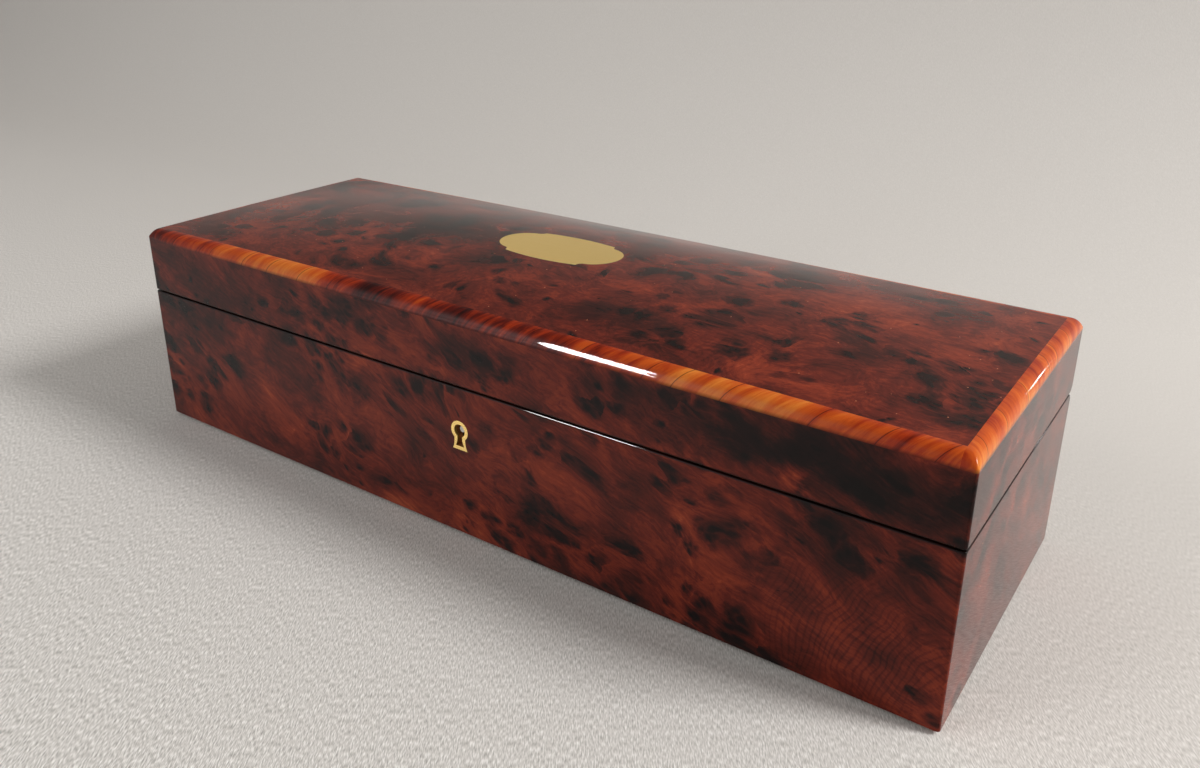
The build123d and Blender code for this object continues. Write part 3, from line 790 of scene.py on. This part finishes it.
# The front pad leaves room round the lock
lock_margin = 1.5 * MM
beside_lock = plate_high.x + lock_margin
below_lock = plate_low.z - lock_margin
padded_panel("base_pad_satin", "base_pad", "case", *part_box("base_pad"), (0, 0, 1), True)
padded_panel("lid_pad_satin", "lid_pad", "lid", *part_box("lid_pad"), (0, 0, -1), True)
padded_panel("back_pad_satin", "back_pad", "case", *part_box("back_pad"), (0, -1, 0), False)
padded_panel("left_pad_satin", "left_pad", "case", *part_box("left_pad"), (1, 0, 0), False)
padded_panel("right_pad_satin", "right_pad", "case", *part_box("right_pad"), (-1, 0, 0), False)
for name, x_low, x_high, z_high in (
    ("front_pad_satin_left", front_low.x, -beside_lock, front_high.z),
    ("front_pad_satin_middle", -beside_lock, beside_lock, below_lock),
    ("front_pad_satin_right", beside_lock, front_high.x, front_high.z),
):
    panel_low = Vector((x_low, front_low.y, front_low.z))
    panel_high = Vector((x_high, front_high.y, z_high))
    padded_panel(name, "front_pad", "case", panel_low, panel_high, (0, 1, 0), False)

# The wadding swells the cloth between its fixed edges and buttons
last_step = 20
furthest = 0.8 * MM
start_shapes = []
for piece in pads:
    points = np.empty(len(piece.data.vertices) * 3)
    piece.data.vertices.foreach_get("co", points)
    start_shapes.append(points.reshape(-1, 3))
    stuffing = piece.modifiers.new("stuffing", "CLOTH")
    stuffing.settings.quality = 4
    stuffing.settings.mass = 0.05
    stuffing.settings.tension_stiffness = 5
    stuffing.settings.compression_stiffness = 5
    stuffing.settings.shear_stiffness = 2
    stuffing.settings.bending_stiffness = 0.05
    stuffing.settings.use_pressure = True
    stuffing.settings.uniform_pressure_force = 4
    stuffing.settings.vertex_group_mass = "held"
    stuffing.settings.effector_weights.gravity = 0
    stuffing.point_cache.frame_start = 1
    stuffing.point_cache.frame_end = last_step
for step_number in range(1, last_step + 1):
    bpy.context.scene.frame_set(step_number)
evaluated = bpy.context.evaluated_depsgraph_get()
for piece, start in zip(pads, start_shapes):
    swollen = piece.evaluated_get(evaluated).data
    points = np.empty(len(swollen.vertices) * 3)
    swollen.vertices.foreach_get("co", points)
    shift = points.reshape(-1, 3) - start
    length = np.linalg.norm(shift, axis=1, keepdims=True)
    shift *= np.minimum(1, furthest / np.maximum(length, 1e-9))
    piece.modifiers.clear()
    piece.data.vertices.foreach_set("co", (start + shift).ravel())
    piece.data.update()
bpy.context.scene.frame_set(1)

# Buttons. Wooden moulds covered in the same satin, one in each dimple.


def domed_buttons(name, node, body, face):
    """Buttons as surfaces of revolution: a dome that bulges to its widest at a third of its
    height and closes under itself. Face is 1 for the floor's buttons and -1 for the lid's."""
    low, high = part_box(node)
    height = (high.z - low.z) / MM
    seat = (low.z if face > 0 else high.z) / MM
    sides = 24
    rings = 9
    turn = np.linspace(0, 2 * np.pi, sides, endpoint=False)
    climb = np.linspace(0, 1, rings)
    radius = button_radius * np.concatenate([[0.02, 0.9], np.cos(climb * np.pi / 2 * 0.99)])
    level = height * np.concatenate([[0, 0], 0.3 + 0.7 * np.sin(climb * np.pi / 2)])
    ring = np.arange(len(radius) * len(turn)).reshape(len(radius), len(turn))
    after = np.roll(ring, -1, axis=1)
    quads = np.stack([ring[:-1], after[:-1], after[1:], ring[1:]], -1).reshape(-1, 4)
    if face < 0:
        quads = quads[:, ::-1]
    all_points = []
    all_quads = []
    for number, (x, y) in enumerate(button_places()):
        points = np.stack(
            [
                x + radius[:, None] * np.cos(turn),
                y + radius[:, None] * np.sin(turn),
                seat + face * level[:, None] + 0 * turn,
            ],
            -1,
        ).reshape(-1, 3)
        all_points.append(points)
        all_quads.append(quads + number * len(points))
    piece = mesh_piece(name, np.concatenate(all_points) * MM, np.concatenate(all_quads), satin)
    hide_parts(node)
    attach(piece, body)


domed_buttons("base_buttons_satin", "base_buttons", "case", 1)
domed_buttons("lid_buttons_satin", "lid_buttons", "lid", -1)

# Base cover. Thin dark cloth glued under the case, set in from its edges.
cloth, tree, shader, mm = new_material("dark_base_cloth")
shader.inputs["Base Color"].default_value = linear("#1f1a17")
shader.inputs["Roughness"].default_value = 0.9
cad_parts["base_cover"].data.materials.clear()
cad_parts["base_cover"].data.materials.append(cloth)

# Table and backdrop. One sheet of pale, finely woven cloth lies under the box and sweeps up
# behind it.
cloth_width = 3.2
cloth_front = -1.6
sweep_start = 0.25
sweep_radius = 0.3
backdrop_height = 1.3


def swept_cloth():
    """Flat up to the sweep, then a quarter circle, then upright: points by arc length."""
    quarter = sweep_radius * math.pi / 2
    length = np.concatenate(
        [
            np.linspace(cloth_front, sweep_start, 24, endpoint=False),
            sweep_start + np.linspace(0, quarter, 32, endpoint=False),
            sweep_start + quarter + np.linspace(0, backdrop_height, 12),
        ]
    )
    turn = np.clip((length - sweep_start) / sweep_radius, 0, math.pi / 2)
    beyond = np.maximum(length - sweep_start - quarter, 0)
    y = np.minimum(length, sweep_start) + sweep_radius * np.sin(turn)
    z = sweep_radius * (1 - np.cos(turn)) + beyond
    x = np.linspace(-cloth_width / 2, cloth_width / 2, 17)
    return np.stack(np.broadcast_arrays(x[None, :], y[:, None], z[:, None]), axis=-1)


backdrop_cloth, tree, shader, mm = new_material("pale_woven_cloth")
# Ribs of thread, each broken into short floats, painted into the colour as the light and shade of
# their relief. The painted light and shade fade where the cloth rises.
rib_turn = math.radians(35)
rib_spacing = 0.33
float_length = 1.8
rib_place = add_node(
    tree,
    "ShaderNodeMapping",
    {"Vector": mm, "Rotation": (0, 0, rib_turn), "Scale": (rib_spacing, float_length, float_length)},
    vector_type="TEXTURE",
).outputs[0]
ribs = add_node(
    tree, "ShaderNodeTexNoise", {"Vector": rib_place, "Scale": 1.0, "Detail": 1.0, "Roughness": 0.5}
).outputs[0]
back_from = add_node(tree, "ShaderNodeSeparateXYZ", {0: mm}).outputs[1]
painted_relief = add_node(
    tree, "ShaderNodeMapRange", {0: back_from, 1: -170.0, 2: 130.0, 3: 1.1, 4: 0.12}
).outputs[0]
around = add_node(tree, "ShaderNodeMath", {0: ribs, 1: 0.5}, operation="SUBTRACT").outputs[0]
thread_light = add_node(
    tree, "ShaderNodeMath", {0: around, 1: painted_relief, 2: 0.5}, operation="MULTIPLY_ADD"
).outputs[0]
threads = colour_ramp(tree, thread_light, [(0.2, "#96928b"), (0.5, "#cec9c3"), (0.8, "#fbf8f4")])
tree.links.new(threads, shader.inputs["Base Color"])
shader.inputs["Roughness"].default_value = 0.9
sheet = swept_cloth()
backdrop = mesh_piece("backdrop", sheet, grid_quads(*sheet.shape[:2]), backdrop_cloth)

# Light. A pale room, a broad lamp from the upper right, a weak fill from the front left, the
# tall narrow window whose reflection lies on the front edge of the lid, and a small one for the
# glint on the lid's right edge.
world = bpy.data.worlds.new("room")
bpy.context.scene.world = world
world.use_nodes = True
world.node_tree.nodes["Background"].inputs[0].default_value = (0.24, 0.236, 0.232, 1)
world.node_tree.nodes["Background"].inputs[1].default_value = 1.0


def lamp(name, place, aim, width, height, power):
    """An area lamp that faces a point."""
    light = bpy.data.lights.new(name, "AREA")
    light.shape = "RECTANGLE"
    light.size = width
    light.size_y = height
    light.energy = power
    piece = bpy.data.objects.new(name, light)
    bpy.context.scene.collection.objects.link(piece)
    piece.location = place
    piece.rotation_euler = (Vector(aim) - Vector(place)).to_track_quat("-Z", "Y").to_euler()
    return piece


box_middle = (0, 0, 0.04)
lamp("broad_lamp", (1.33, 0.34, 1.1), box_middle, 0.42, 0.42, 26)
fill = lamp("fill_lamp", (-0.75, -1.05, 0.8), box_middle, 0.9, 0.9, 5.6)
fill.visible_glossy = False
window_place = Vector((-0.515, -0.920, 0.301))
window = lamp("window", window_place, (window_place.x, -0.05, 0.073), 0.17, 0.5, 46)
window.visible_diffuse = False
window.visible_camera = False
side_window = lamp("side_window", (0.27, 0.273, 0.1), (0.149, 0.0, 0.0745), 0.012, 0.02, 0.02)
side_window.visible_diffuse = False
side_window.visible_camera = False

# Camera, placed as in the photograph
eye = Vector((0.19544, -0.259005, 0.182158))
target = Vector((-0.013183, 0.041659, 0.0412))
roll = 0.004
forward = (target - eye).normalized()
level_right = forward.cross(Vector((0, 0, 1))).normalized()
level_up = level_right.cross(forward)
right = math.cos(roll) * level_right + math.sin(roll) * level_up
up = right.cross(forward)
camera_data = bpy.data.cameras.new("camera")
camera_data.lens = 31.36
camera_data.sensor_width = 36
camera_data.shift_y = -0.055
camera_data.clip_start = 0.01
camera = bpy.data.objects.new("camera", camera_data)
bpy.context.scene.collection.objects.link(camera)
turn = Matrix((right, up, -forward)).transposed()
camera.matrix_world = Matrix.Translation(eye) @ turn.to_4x4()
bpy.context.scene.camera = camera
bpy.context.scene.view_settings.view_transform = "Standard"
